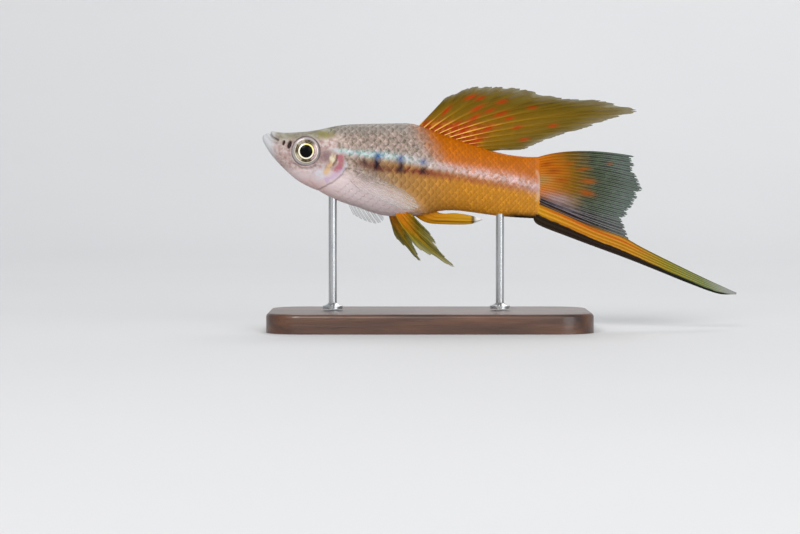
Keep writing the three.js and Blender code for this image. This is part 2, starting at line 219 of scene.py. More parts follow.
class Finish:
    def __init__(self, name):
        self.material = bpy.data.materials.new(name)
        self.material.use_nodes = True
        self.tree = self.material.node_tree
        self.shader = self.tree.nodes["Principled BSDF"]
        self.place = self.node("ShaderNodeTexCoord", output="Object")

    def node(self, kind, settings=None, inputs=None, output=0):
        node = self.tree.nodes.new(kind)
        for name, value in (settings or {}).items():
            if name == "stops":
                while len(node.color_ramp.elements) < len(value):
                    node.color_ramp.elements.new(0.5)
                for element, (place, shade) in zip(node.color_ramp.elements, value):
                    element.position = place
                    element.color = shade
            else:
                setattr(node, name, value)
        for name, value in (inputs or {}).items():
            self.join(node.inputs[name], value)
        return Link(self, node.outputs[output])

    def join(self, socket, value):
        if isinstance(value, Link):
            self.tree.links.new(value.socket, socket)
        else:
            socket.default_value = value

    def blend(self, share, under, over, kind="MIX"):
        """Lays one colour over another; each is a link or a screen colour."""
        under, over = (shade if isinstance(shade, Link) else colour(*shade) for shade in (under, over))
        settings = {"data_type": "RGBA", "blend_type": kind}
        return self.node("ShaderNodeMix", settings, {0: share, 6: under, 7: over}, output=2)

    def noise(self, scale, detail=2.0, place=None, twist=0.0):
        inputs = {"Vector": place or self.place, "Scale": scale, "Detail": detail, "Distortion": twist}
        return self.node("ShaderNodeTexNoise", None, inputs)

    def stretched(self, *scale):
        return self.node("ShaderNodeMapping", None, {"Vector": self.place, "Scale": scale})

    def kept(self, name):
        return self.node("ShaderNodeAttribute", {"attribute_name": name}, output="Fac")

    def between(self, value, low, high):
        settings = {"interpolation_type": "SMOOTHSTEP"}
        return self.node("ShaderNodeMapRange", settings, {0: value, 1: low, 2: high})

    def ramp(self, value, stops):
        """Screen colours, each at a place from 0 to 1."""
        stops = [(place, colour(*shade)) for place, *shade in stops]
        return self.node("ShaderNodeValToRGB", {"stops": stops}, {"Fac": value})

    def bump(self, height, depth=fine_grain):
        return self.node("ShaderNodeBump", None, {"Height": height, "Distance": depth, "Strength": 1.0})

    def set(self, **sockets):
        for name, value in sockets.items():
            self.join(self.shader.inputs[name.replace("_", " ")], value)
        return self.material


# %% Table finish
table = Finish("pale table")
grain = table.noise(6.0, 4.0)
floor.data.materials.append(table.set(
    Base_Color=table.blend(grain, (208, 208, 209), (200, 201, 203)),
    Roughness=0.62 + grain * 0.1,
))

# %% [markdown]
# ## The body's shape
#
# Seen from the side, the body lies between two smooth curves, back and belly. A third gives half its
# width, and two more say how square or round each section is. Every point of the skin is then found
# from its station s and its turn, the share of the way round, which starts at the back and goes down
# the left side.

# %% Smooth curves through set points
def through(points):
    """A smooth curve through [place, value] pairs, level past both ends."""
    places, values = np.array(points, float).T
    slopes = np.gradient(values)
    slopes[1:-1] = (values[2:] - values[:-2]) / (places[2:] - places[:-2])
    slopes[[0, -1]] = np.diff(values)[[0, -1]] / np.diff(places)[[0, -1]]

    def curve(place):
        place = np.clip(place, places[0], places[-1])
        i = np.clip(np.searchsorted(places, place) - 1, 0, len(places) - 2)
        step = places[i + 1] - places[i]
        t = (place - places[i]) / step
        u = 1 - t
        ends = values[i] * u * u * (1 + 2 * t) + values[i + 1] * t * t * (3 - 2 * t)
        return ends + step * t * u * (slopes[i] * u - slopes[i + 1] * t)

    return curve


def smooth(value, low, high):
    """Rises from 0 at low to 1 at high, with soft ends."""
    t = np.clip((value - low) / (high - low), 0.0, 1.0)
    return t * t * (3 - 2 * t)


def hump(distance, width):
    """1 at no distance, and almost nothing past two widths."""
    return np.exp(-((distance / width) ** 2))


# %% Outlines
body_length = 50.0
back = through([
    [0, 34.5], [0.12, 34.95], [0.4, 35.1], [1.3, 35.4], [2, 35.65], [3.1, 35.5], [4.4, 35.45], [7.3, 35.6],
    [9.7, 35.9], [12.1, 36.4], [14.5, 36.8], [17, 36.95], [21.8, 37.05], [26, 37.1], [27.5, 36.9], [30.1, 36],
    [32.4, 35.1], [35.3, 34.1], [39.1, 32.8], [41.9, 32], [44.7, 31.4], [47.6, 31.1], [50, 31.1],
])
belly = through([
    [0, 34.5], [0.12, 33.95], [0.6, 33], [1.3, 31.9], [2.5, 30.4], [4.9, 28], [6.4, 26.8], [8.5, 25.7],
    [9.7, 25.2], [12.1, 23.9], [14.5, 22.9], [17, 22.1], [19.4, 21.2], [21.8, 20.6], [24.7, 20.4],
    [26.6, 20.35], [29.2, 20.75], [31.9, 21.4], [34.6, 21.5], [37.4, 21.2], [41, 20.7], [44.7, 20.3],
    [50, 20],
])
half_width = through([
    [0, 0], [0.12, 0.6], [0.6, 1.15], [1.3, 1.55], [2.5, 2], [5, 2.6], [7.8, 3], [12, 3.55], [16, 3.95],
    [20, 4.1], [24, 4], [28, 3.7], [33, 3.1], [38, 2.45], [43, 1.8], [47, 1.25], [50, 0.85],
])
widest_at = through([[0, 0.5], [3, 0.58], [7.8, 0.62], [13, 0.56], [20, 0.5], [50, 0.5]])
crown_roundness = through([[0, 2.4], [3, 2.8], [8, 3], [14, 2.4], [22, 2.1], [50, 2]])
keel_roundness = through([[0, 2.2], [8, 2], [20, 2.3], [30, 2], [50, 2]])
tail_sway = 2.6


def sway(s):
    """The bend of the whole fish as seen from above."""
    past = np.maximum(0.0, s - 18) / 67.6
    return tail_sway * past**2 * (1.6 - 0.6 * past) - 0.4 * np.exp(-((s / 9) ** 2))


# %% A table of sections
station_step = 0.1
turn_count = 256
stations = np.arange(0.0, body_length + station_step / 2, station_step)


def half_section(s, shares):
    """One side of the section at s, from back to belly, at even shares of its length."""
    top, low = back(s), belly(s)
    mid = low + (top - low) * widest_at(s)
    angle = np.linspace(0, np.pi, 721)
    upper = angle < np.pi / 2
    power = 2 / np.where(upper, crown_roundness(s), keel_roundness(s))
    out = half_width(s) * np.abs(np.sin(angle)) ** power
    up = np.where(upper, top - mid, mid - low) * np.abs(np.cos(angle)) ** power
    height = mid + np.where(upper, up, -up)
    run = np.concatenate([[0.0], np.cumsum(np.hypot(np.diff(out), np.diff(height)))])
    wanted = shares * run[-1]
    return np.interp(wanted, run, out), np.interp(wanted, run, height), run[-1]


half_shares = np.linspace(0, 1, turn_count // 2 + 1)
halves = [half_section(s, half_shares) for s in stations]
half_girth = np.array([half[2] for half in halves])
left = np.array([[-half[0], half[1]] for half in halves])
right = left[:, :, -2:0:-1] * np.array([-1.0, 1.0])[:, None]
sections = np.concatenate([left, right], axis=2)


def on_body(s, turn):
    """The point of the bare body at a station and turn, in mm, before the sway."""
    row = np.clip(s / station_step, 0, len(stations) - 1.001)
    i = row.astype(int)
    column = (turn % 1.0) * turn_count
    j = column.astype(int) % turn_count
    k = (j + 1) % turn_count
    across, down = column - np.floor(column), row - i
    near = sections[i, :, j].T * (1 - across) + sections[i, :, k].T * across
    far = sections[i + 1, :, j].T * (1 - across) + sections[i + 1, :, k].T * across
    y, z = near * (1 - down) + far * down
    return np.stack([s, y, z], axis=-1)


def outwards(s, turn):
    """The direction straight out of the body there."""
    along = on_body(s + 0.15, turn) - on_body(s - 0.15, turn)
    along[:, 0] = 0.3
    around = on_body(s, turn + 0.006) - on_body(s, turn - 0.006)
    out = np.cross(around, along)
    return out / np.maximum(np.linalg.norm(out, axis=-1, keepdims=True), 1e-9)


def into_world(points):
    """From s, y and z in mm to the model's own metres, with the sway added."""
    s, y, z = points.T
    return np.stack([snout_x + s, y + sway(s), z], axis=-1) * MM


# %% [markdown]
# ## The skin
#
# The head, trunk and tail are separate solids, but a fish has one skin. A sphere with 400 rings is
# added, and each of its vertices is moved to its place on the body. On the way it is pushed out or in
# a little, for the lips and the mouth's slit, the nostrils, the rim round the eye and the edge of the
# gill cover.

# %% Marks on the head
eye_centre = (7.95, 32.1)
mouth_line = [(0.9, 36.1), (1.3, 35.4), (1.9, 34.6), (2.9, 34.1)]
nostrils = [(4.95, 33.25, 0.55), (3.9, 33.6, 0.36)]
cover_front = [(9.9, 25.3), (8.6, 26.6), (9.4, 28.6), (9.9, 30.6), (11.3, 32.6), (13.2, 33.4)]
gill_slit = through([
    [23.5, 8.7], [25.1, 9.9], [26.8, 13], [28.4, 14.6], [30.1, 14.9], [31.1, 14.6], [32, 13.9], [33.6, 13.4],
    [36.5, 13.1],
])


def distance_to(line, s, z):
    """The side-view distance from each point to a line of [s, z] corners."""
    nearest = np.full(np.shape(s), 99.0)
    for (s0, z0), (s1, z1) in zip(line[:-1], line[1:]):
        length = (s1 - s0) ** 2 + (z1 - z0) ** 2
        t = np.clip(((s - s0) * (s1 - s0) + (z - z0) * (z1 - z0)) / length, 0, 1)
        nearest = np.minimum(nearest, np.hypot(s - s0 - t * (s1 - s0), z - z0 - t * (z1 - z0)))
    return nearest


def behind_gill(s, z):
    """How far behind the gill slit a point lies, less than 0 on the cover."""
    lean = (gill_slit(z + 0.1) - gill_slit(z - 0.1)) / 0.2
    return (s - gill_slit(z)) / np.sqrt(1 + lean**2)


def from_nostril(s, z, nostril_s, nostril_z):
    """Distance from a nostril, which is a tall slanting oval."""
    slant = s - nostril_s - 0.25 * (z - nostril_z)
    return np.hypot(slant * 1.35, (z - nostril_z) * 0.72)


def tail_taper(s):
    """Thins the body over its last 3 mm, down to the thickness of the tail fin."""
    return np.sqrt(np.clip(1 - (np.maximum(s - 47.0, 0) / 3.05) ** 2, 0.04, 1))


def relief(s, z):
    """How far the skin stands out of the bare body, in mm."""
    from_eye = np.hypot(s - eye_centre[0], z - eye_centre[1])
    rise = 0.16 * hump(from_eye - 2.75, 0.24) - 0.07 * hump(from_eye - 3.3, 0.25)
    rise -= 1.0 * smooth(-from_eye, -2.55, -2.3)
    from_mouth = distance_to(mouth_line, s, z)
    rise += 0.14 * hump(from_mouth - 0.42, 0.22) * smooth(-s, -3.8, -3.0) - 0.42 * hump(from_mouth, 0.12)
    for nostril_s, nostril_z, radius in nostrils:
        away_from = from_nostril(s, z, nostril_s, nostril_z)
        rise += 0.05 * hump(away_from - 1.3 * radius, 0.12) - 0.4 * smooth(-away_from, -radius, -0.5 * radius)
    gap = behind_gill(s, z)
    at_side = smooth(z, 24.3, 25.3) * smooth(-z, -34.2, -32.8) * (0.4 + 0.6 * smooth(z, 25.5, 29.5))
    rise += at_side * np.where(gap < 0, 0.2 * np.exp(np.minimum(gap, 0) / 1.5), -0.26 * np.exp(-gap / 0.4))
    rise -= 0.07 * hump(distance_to(cover_front, s, z), 0.22)
    return rise


# %% Skin
skin_rings = 400
skin_sides = 216

skin = start(bpy.ops.mesh.primitive_uv_sphere_add, "skin", segments=skin_sides, ring_count=skin_rings)
ball = coordinates(skin)
share = np.arccos(np.clip(ball[:, 2], -1, 1)) / np.pi
skin_s = body_length * (1 - (1 - share**1.3) ** 1.25)
skin_turn = np.arctan2(ball[:, 1], ball[:, 0]) / (2 * np.pi)
at_end = (share < 1e-4) | (share > 1 - 1e-4)
bare = on_body(skin_s, skin_turn)
bare[at_end, 1:] = np.stack([0 * skin_s, (back(skin_s) + belly(skin_s)) / 2], axis=-1)[at_end]
bare[:, 1] *= tail_taper(skin_s)
skin_relief = relief(skin_s, bare[:, 2]) * ~at_end
move_to(skin, into_world(bare + outwards(skin_s, skin_turn) * skin_relief[:, None]))
seal(skin)


# %% [markdown]
# ## Where each colour lies
#
# The markings are drawn from curves: a shining band from the gills to the tail, a dark zigzag line
# under it with a few blotches, an orange back, a pale belly, and the gold and red of the gill cover.
# Each is kept on the mesh as a number from 0 to 1. The scales use the same function, so skin and
# scales carry the same markings.

# %% Markings
band_line = through([
    [12, 32.5], [15.4, 31.95], [18.8, 31.6], [22.75, 31.2], [26.7, 30.5], [30.1, 29.7], [34.6, 28.85],
    [37.9, 28.3], [41.3, 27.7], [45.25, 26.9], [49.75, 25.6],
])
band_half = through([[12, 0.3], [16, 0.5], [20, 0.65], [27, 0.75], [34, 0.85], [42, 1.05], [49.8, 1.3]])
zigzag_line = through([
    [16.5, 30.3], [18, 29.9], [21, 29.1], [25, 28.85], [28.9, 28.35], [32.3, 27.85], [35.7, 27.35],
    [39, 26.7], [43.6, 26], [48, 25.3], [50, 25],
])
zigzag_strength = through([[15.5, 0], [18.5, 0.8], [21, 1], [32, 0.95], [38, 0.7], [46, 0.55], [50, 0.3]])
pale_line = through([[8, 29], [15, 28.4], [20, 26.9], [26, 25.1], [29, 23], [31.5, 19], [50, 17]])
blotches = [(20.5, 29.8, 0.7, 1.2), (24.8, 29.3, 0.75, 1.3), (28.9, 28.8, 0.55, 1.0), (18.4, 30.1, 0.4, 0.5)]
blue_spots = [(20.8, 31.2, 0.65), (24.8, 30.8, 0.6), (28.9, 30.2, 0.5)]
painted_lines = {
    "gill_gold": ([(12.9, 31.0), (12.5, 30.1), (12.0, 29.3), (11.4, 28.3)], 0.55),
    "gill_olive": ([(13.5, 31.3), (13.3, 30.4), (12.8, 29.6)], 0.25),
    "gill_red": ([(14.1, 31.0), (14.35, 30.2), (14.0, 29.4), (13.3, 28.8)], 0.6),
    "gill_lilac": ([(14.2, 28.9), (13.4, 28.1), (12.6, 27.4), (11.6, 26.9)], 0.6),
    "gill_blue": ([(14.9, 30.2), (14.85, 29.3), (14.5, 28.5)], 0.4),
    "tail_root": ([(49.3, 28.5), (49.75, 27.3), (49.95, 25.3), (49.3, 23.3)], 0.28),
    # The mouth mark runs along the slit that the relief cuts; the skin finish paints shade along it
    "mouth": (mouth_line, 0.2),
}


def markings(s, z):
    body = behind_gill(s, z)
    above_band = z - band_line(s)
    zigzag = np.abs((s / 1.35) % 1.0 - 0.5) * 1.5 - 0.37
    from_zigzag = z - zigzag_line(s) + zigzag
    blotch = 1.4 * sum(hump((s - bs) / w, 0.75) * hump((z - bz) / h, 0.9) for bs, bz, w, h in blotches)
    blue = sum(hump(np.hypot(s - bs, z - bz), r) for bs, bz, r in blue_spots)
    # The nostril mask covers the pits that the relief sinks; the skin finish paints shade into them
    nostril = sum(smooth(-from_nostril(s, z, ns, nz), -1.1 * r, -0.75 * r) for ns, nz, r in nostrils)
    marks = {name: hump(distance_to(line, s, z), width) for name, (line, width) in painted_lines.items()}
    marks["gill_blue"] += hump(np.hypot(s - 10.4, z - 28.0), 1.0)
    return marks | {
        "behind": smooth(body, -0.3, 0.6),
        "crown": smooth(z - back(s), -2.6, -0.6),
        "orange_back": smooth(s - 27.2 - 0.62 * (37 - z), -2.2, 3.2) * smooth(above_band, -0.2, 0.9),
        "gold_flank": smooth(s + 0.9 * (z - 28), 17.0, 25.0) * smooth(-above_band, -0.2, 1.4),
        "pale_belly": smooth(pale_line(s) - z, -0.9, 1.6),
        "band": hump(above_band / band_half(s), 0.95) * smooth(s, 11.5, 14.5),
        "tailward": smooth(s, 20, 38),
        "zigzag": hump(from_zigzag, 0.48) * zigzag_strength(s),
        "blotch": np.clip(blotch, 0, 1),
        "blue_spot": np.clip(blue, 0, 1),
        "gill_white": hump(np.hypot((s - 12.7) * 1.2, (z - 30.8) * 0.8), 0.75),
        "smudge": smooth(s, 42.5, 45.5) * hump(z - belly(s) - 0.1, 0.75),
        "lips": smooth(-s, -3.4, -0.8),
        "nostril": nostril,
        # eye_rim lies where the skin dips to meet the eye; the skin finish paints shade there
        "eye_rim": hump(np.hypot(s - eye_centre[0], z - eye_centre[1]) - 2.55, 0.16),
        "cheek": hump(np.hypot(s - 10.2, (z - 28.3) * 1.1), 1.9),
        "throat": smooth(-s - 0.9 * (z - 26), -14.5, -7.5) * smooth(body, -9, -1) * smooth(-z, -29, -26),
        "temple": hump(np.hypot((s - 11.6) * 0.75, z - 31.2), 1.2),
        "brow": hump(np.hypot((s - 11.3) * 0.4, z - 35.0), 0.8),
    }


write_values(skin, markings(skin_s, bare[:, 2]) | {"rim": 0 * skin_s, "tone": 0 * skin_s + 0.5})

# %% [markdown]
# ## The scales
#
# A swordtail has about 28 rows of scales along its flank. One scale is a sphere flattened to a thin
# plate, with its free end rounded and its hidden end drawn in. It is copied to each place, bent onto
# the body there, with its front end sunk in the skin and its rear end lifted over the scale behind.
# Rows are staggered like roof tiles. Each scale remembers how close a point is to its free rim.

# %% One scale
scale = start(bpy.ops.mesh.primitive_uv_sphere_add, "scales", segments=12, ring_count=5, radius=1.0)
bpy.ops.object.mode_set(mode="EDIT")
bpy.ops.mesh.select_all(action="SELECT")
bpy.ops.transform.resize(value=(1.0, 1.0, 0.5))
select_where(scale, lambda middle, _: abs(middle.z) > 0.4)
bpy.ops.transform.resize(value=(1.45, 1.45, 1.0))
select_where(scale, lambda middle, _: middle.x < -0.35)
bpy.ops.transform.resize(value=(1.0, 0.8, 0.7))
bpy.ops.object.mode_set(mode="OBJECT")
plate = coordinates(scale)
plate_faces = [tuple(face.vertices) for face in scale.data.polygons]
bpy.data.objects.remove(scale)

# %% Where the scales sit
rows_round = 24
first_column, last_column = 10.2, 49.6
column_step = 0.44
column_places = []
reach = first_column
while reach < last_column:
    column_places.append(reach)
    reach += column_step * 2 * np.interp(reach, stations, half_girth) / rows_round

seats = []
for column, seat_s in enumerate(column_places):
    for row in range(rows_round):
        seat_turn = (row + 0.5 * (column % 2)) / rows_round
        _, _, seat_z = on_body(np.array([seat_s]), np.array([seat_turn]))[0]
        first = 10.0 if seat_z > 35.2 else max(gill_slit(seat_z) + 0.9, 12.6)
        if seat_s >= first:
            seats.append((seat_s, seat_turn))
seats = np.array(seats)
print("scales:", len(seats))

# %% Scales
row_width = 2 * np.interp(seats[:, 0], stations, half_girth) / rows_round
half_long = 0.62 * row_width[:, None]
half_turn = 0.58 / rows_round
spin = np.random.default_rng(7)
unevenness = spin.normal(0, 0.03, (len(seats), 2))
scale_s = seats[:, :1] + half_long * (plate[None, :, 0] + unevenness[:, :1])
scale_turn = seats[:, 1:] + half_turn * (plate[None, :, 1] + unevenness[:, 1:])
lift = 0.008 + 0.022 * plate[None, :, 0] + 0.035 * plate[None, :, 2] - 0.05 * smooth(scale_s, 48.2, 50)
lift = lift * smooth(scale_s, 9.5, 14.5) - 0.045 * smooth(-scale_s, -13.0, -10.0)
scale_s, scale_turn, lift = scale_s.ravel(), scale_turn.ravel(), lift.ravel()
on_skin = on_body(np.minimum(scale_s, 49.9), scale_turn)
on_skin[:, 0] = scale_s
lift *= 1 - 0.6 * markings(scale_s, on_skin[:, 2])["pale_belly"]
on_skin[:, 1] *= tail_taper(scale_s)
spots_out = on_skin + outwards(scale_s, scale_turn) * (lift + relief(scale_s, on_skin[:, 2]))[:, None]

first_corners = range(0, len(scale_s), len(plate))
scale_faces = [tuple(first + i for i in face) for first in first_corners for face in plate_faces]
scale_mesh = bpy.data.meshes.new("scales")
scale_mesh.from_pydata(into_world(spots_out).tolist(), [], scale_faces)
scales = bpy.data.objects.new("scales", scale_mesh)
bpy.context.scene.collection.objects.link(scales)
edge_share = np.hypot(plate[:, 0], plate[:, 1] * 0.95)
# free_rim rises towards each scale's free rear edge; the skin finish darkens it there, partly as the fish's
# own dark edging and partly as painted shade where the scale overlaps the next
free_rim = smooth(edge_share, 0.3, 0.9) * smooth(plate[:, 0], 0.1, 0.8)
write_values(scales, markings(scale_s, on_skin[:, 2]) | {
    "rim": np.tile(free_rim, len(seats)),
    "tone": np.repeat(spin.uniform(0, 1, len(seats)), len(plate)),
})

# %% A place for each scale on the baked picture
patch = 0.0015
corner_of = np.empty(len(scale_mesh.loops), int)
scale_mesh.loops.foreach_get("vertex_index", corner_of)
seat_of = corner_of // len(plate)
point_of = corner_of % len(plate)
unwrap = np.stack([
    0.02 + 0.96 * seats[seat_of, 0] / 52 + patch * plate[point_of, 0],
    0.02 + 0.96 * (seats[seat_of, 1] % 1.0) + patch * plate[point_of, 1],
], axis=-1)
scale_mesh.uv_layers.new(name="OFBake").data.foreach_set("uv", unwrap.ravel())
seal(scales)


# %% [markdown]
# ## The skin's finish
#
# Each colour is laid over the last where its marking says. Small noise breaks them up, because a real
# fish's colour sits in thousands of cells. The band gets a metallic shine, and a thin clear coat gives
# the wet look.

# %% Skin finish
skin_layers = [
    ("pale_belly", 1.0, (203, 186, 187)),
    ("orange_back", 1.0, (190, 103, 2)),
    ("throat", 0.5, (196, 150, 140)),
    ("lips", 0.9, (206, 208, 214)),
]
fine_layers = [
    ("cheek", 0.45, (192, 182, 190)),
    ("temple", 0.75, (116, 88, 94)),
    ("brow", 0.7, (134, 128, 62)),
    ("gill_blue", 0.45, (200, 208, 218)),
    ("gill_lilac", 0.5, (172, 142, 184)),
    ("gill_gold", 0.7, (204, 168, 112)),
    ("gill_white", 0.8, (220, 214, 190)),
    ("gill_olive", 0.8, (92, 68, 54)),
    ("gill_red", 0.72, (168, 62, 88)),
]


def skin_finish():
    finish = Finish("skin")
    blend, ramp, between, kept = finish.blend, finish.ramp, finish.between, finish.kept
    specks = finish.noise(1700.0, 3.0)
    cells = finish.noise(700.0, 3.0)
    patches = finish.noise(380.0, 2.0)
    clouds = finish.noise(170.0, 2.0)
    behind, tailward, rim = kept("behind"), kept("tailward"), kept("rim")
    uneven = (kept("tone") - 0.5) * 0.5 + (clouds - 0.5) * 0.4 + (patches - 0.5) * 0.8
    head = ramp(specks, [(0.35, 160, 134, 128), (0.5, 182, 159, 154), (0.65, 194, 182, 180)])
    crown = ramp(cells, [(0.35, 96, 98, 84), (0.5, 136, 132, 112), (0.65, 158, 160, 146)])
    head = blend(kept("crown") * (0.9 + uneven * 0.5), head, crown)
    flank = ramp(specks, [(0.35, 120, 110, 98), (0.5, 166, 150, 139), (0.65, 186, 164, 157)])
    flank = blend(kept("crown") * 0.7, flank, (148, 146, 140))
    base = blend(behind, head, flank)
    for mark, strength, shade in skin_layers:
        amount = kept(mark)
        base = blend(amount * (strength + uneven * (1 - amount) * 2.2), base, shade)
    gold = blend(tailward, (172, 132, 78), (204, 136, 22))
    amount = kept("gold_flank")
    base = blend(amount * (0.95 + uneven * (1 - amount) * 2.2), base, gold)
    for mark, strength, shade in fine_layers:
        broken = between(kept(mark) * ((specks - 0.5) * 3.4 + 1), 0.15, 0.95)
        base = blend(broken * strength, base, shade)
    shine = ramp(specks, [(0.36, 128, 178, 188), (0.5, 188, 218, 214), (0.66, 192, 190, 212)])
    pink_shine = ramp(specks, [(0.38, 204, 150, 130), (0.52, 220, 190, 186), (0.66, 210, 170, 172)])
    band = blend(tailward, shine, pink_shine)
    zigzag = blend(tailward, (104, 48, 34), (150, 70, 54))
    line_layers = [
        ("band", 0.85, 0.6, band),
        ("zigzag", 0.95, 0.6, zigzag),
        ("blotch", 0.9, 0.6, (40, 24, 36)),
        ("blue_spot", 0.9, 0.6, (44, 84, 140)),
        ("tail_root", 0.3, 0.0, (232, 214, 186)),
        # Painted shade in the crease where the skin meets the eye
        ("eye_rim", 0.6, 0.0, (112, 92, 92)),
        # Painted shade: the nostril pits are near black, as a hole is
        ("nostril", 0.95, 0.0, (44, 28, 28)),
        # Painted shade along the mouth's slit
        ("mouth", 0.3, 0.0, (104, 86, 80)),
    ]
    for mark, strength, patchy, shade in line_layers:
        base = blend(kept(mark) * (strength + uneven * patchy), base, shade)
    base = blend(kept("smudge") * (0.75 + cells * 0.5), base, (26, 20, 14))
    each_scale = kept("tone")
    tone = blend(each_scale + kept("pale_belly"), (218, 216, 214), (255, 255, 255))
    base = blend(1.0, base, tone, "MULTIPLY")
    # Dark scale rims: partly the fish's own dark scale edging, partly painted shade along each scale's free
    # rear edge where it overlaps the next
    edge = rim * (each_scale * 0.5 + 0.2) * (1 - kept("pale_belly"))
    edge = edge * (1 - kept("band") * 0.4) * (1 - tailward * 0.3)
    base = blend(edge, base, (126, 108, 94), "MULTIPLY")
    silver = kept("band") * 0.3 + kept("cheek") * 0.2
    return finish.set(
        Base_Color=base,
        Metallic=silver + 0.04,
        Roughness=0.4 + cells * 0.16,
        Specular_IOR_Level=0.1,
        Coat_Weight=0.08,
        Coat_Roughness=0.15,
        Normal=finish.bump(cells * 0.6 + specks * 0.4),
    )


skin_material = skin_finish()
for piece in (skin, scales):
    piece.data.materials.append(skin_material)
    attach(piece, "root")
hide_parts("head", "torso", "tail_base", "gill_cover_left", "gill_cover_right")

# %% [markdown]
# ## The eyes
#
# A fish's eye has no lids. Its pupil is the front of a round lens, ringed by a thin gold line, with a
# dark silver iris outside. A sphere is turned so that its pole looks outwards, and its rings are pushed
# in for the iris and out for the lens. The clear coat stands for the wet cornea.

# %% Eyes
eye_out = 2.4
eye_radius = 2.75
eye_depth = 1.15
pupil_radius = 1.14
ring_radius = 1.4


def add_eye(side, hand):
    eye = start(bpy.ops.mesh.primitive_uv_sphere_add, f"eye_ball_{hand}", segments=72, ring_count=96)
    ball = coordinates(eye)
    around = np.arctan2(ball[:, 1], ball[:, 0])
    from_pole = np.arccos(np.clip(ball[:, 2], -1, 1))
    radius = eye_radius * np.sin(from_pole)
    height = eye_depth * np.cos(from_pole)
    front = ball[:, 2] > 0
    dish = -0.07 * smooth(radius, pupil_radius, ring_radius) * smooth(-radius, -2.5, -2.0)
    lens = 0.1 * (1 - np.minimum(radius / (pupil_radius + 0.05), 1) ** 2)
    height = height + np.where(front, dish + lens, 0)
    s = eye_centre[0] + radius * np.cos(around)
    z = eye_centre[1] + radius * np.sin(around)
    move_to(eye, into_world(np.stack([s, side * (eye_out + height), z], axis=-1)))
    seal(eye)
    write_values(eye, {"radius": radius, "upwards": np.sin(around), "backwards": np.cos(around)})
    return eye


def eye_finish():
    finish = Finish("eye")
    blend, between = finish.blend, finish.between
    radius, upwards, backwards = finish.kept("radius"), finish.kept("upwards"), finish.kept("backwards")
    flecks = finish.noise(2600.0, 3.0)
    speckled = between(flecks, 0.35, 0.65)
    cream = blend(speckled, (160, 146, 124), (196, 186, 160))
    rosy = blend(speckled, (150, 122, 122), (190, 168, 170))
    bronze = blend(speckled, (56, 48, 38), (104, 92, 70))
    iris = blend(between(backwards, -0.3, 0.5), cream, rosy)
    iris = blend(between(upwards - backwards * 0.5 + flecks * 0.3, 0.15, 0.65), iris, bronze)
    iris = blend(between(upwards - flecks * 0.1, -0.86, -0.98), iris, bronze)
    # The pale ring round the pupil is ivory, with a painted yellow highlight towards its upper rear
    ivory = blend(between(upwards + backwards, 0.2, 1.0), (250, 244, 218), (236, 222, 142))

    rings = [
        (pupil_radius, ring_radius, ivory, 0.04, 1.0),
        (ring_radius + 0.02, 1.52, (70, 56, 38), 0.03, 0.8),
        (1.98, 2.08, (232, 222, 198), 0.04, between(upwards, 0.75, 0.35)),
        (2.1, 2.54, (158, 152, 152), 0.04, 1.0),
        (2.12, 2.18, (104, 88, 84), 0.03, 0.7),
        # The outermost dark ring is painted shade where the eyeball meets its socket
        (2.54, 4.0, (92, 76, 74), 0.04, 1.0),
    ]
    base = iris
    for inner, outer, shade, soft, share in rings:
        inside = between(radius, inner - soft, inner + soft) * between(radius, outer + soft, outer - soft)
        base = blend(inside * share, base, shade)
    base = blend(between(radius, pupil_radius + 0.03, pupil_radius - 0.03), base, (4, 3, 4))
    return finish.set(
        Base_Color=base,
        Metallic=between(radius, pupil_radius, ring_radius) * 0.25,
        Roughness=0.3 + flecks * 0.1,
        Specular_IOR_Level=0.06,
        Coat_Weight=between(radius, pupil_radius - 0.1, ring_radius) * 0.3 + 0.06,
        Coat_Roughness=0.03,
    )


eye_material = eye_finish()
for side, hand in ((-1, "left"), (1, "right")):
    eye = add_eye(side, hand)
    eye.data.materials.append(eye_material)
    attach(eye, "root")
    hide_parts(f"eye_{hand}")

# %% [markdown]
# ## The fins
#
# A fin is a skin stretched over rays, and a ray forks into two and then four on its way out. A flat
# grid is added, and bent so that one side lies along the root and the other along the fin's margin, as
# each ray runs. A Solidify modifier then gives it thickness, which a vertex group makes greater on the
# rays than between them. The skin ends a little short between the rays' tips, as on the real fin.

# %% How rays run
def spread(points):
    """A curve through [s, z] points, as a function of a share from 0 to 1."""
    shares = np.linspace(0, 1, len(points))
    run_s = through([[share, s] for share, (s, _) in zip(shares, points)])
    run_z = through([[share, z] for share, (_, z) in zip(shares, points)])
    return lambda a: np.stack([run_s(a), run_z(a)], axis=-1)


def fan(roots, tips, angles, lean, pull=0.4):
    """Rays from roots to tips that set off at an angle and curve over; lean gives y."""
    root_at, tip_at = spread(roots), spread(tips)

    def centre(a, r):
        start_at, end_at = root_at(a), tip_at(a)
        angle = np.radians(angles[0] + (angles[1] - angles[0]) * a)
        length = np.linalg.norm(end_at - start_at, axis=-1) * pull
        bend_at = start_at + np.stack([np.cos(angle), np.sin(angle)], axis=-1) * length[:, None]
        r = r[:, None]
        flat = start_at * (1 - r) ** 2 + bend_at * 2 * r * (1 - r) + end_at * r**2
        return np.stack([flat[:, 0], lean(a, r[:, 0]), flat[:, 1]], axis=-1)

    return centre


def between_edges(upper, lower):
    """A long fin between an upper and a lower edge, with its rays along it."""
    upper_at, lower_at = spread(upper), spread(lower)

    def centre(a, r):
        flat = upper_at(r) * (1 - a[:, None]) + lower_at(r) * a[:, None]
        return np.stack([flat[:, 0], 0 * a, flat[:, 1]], axis=-1)

    return centre


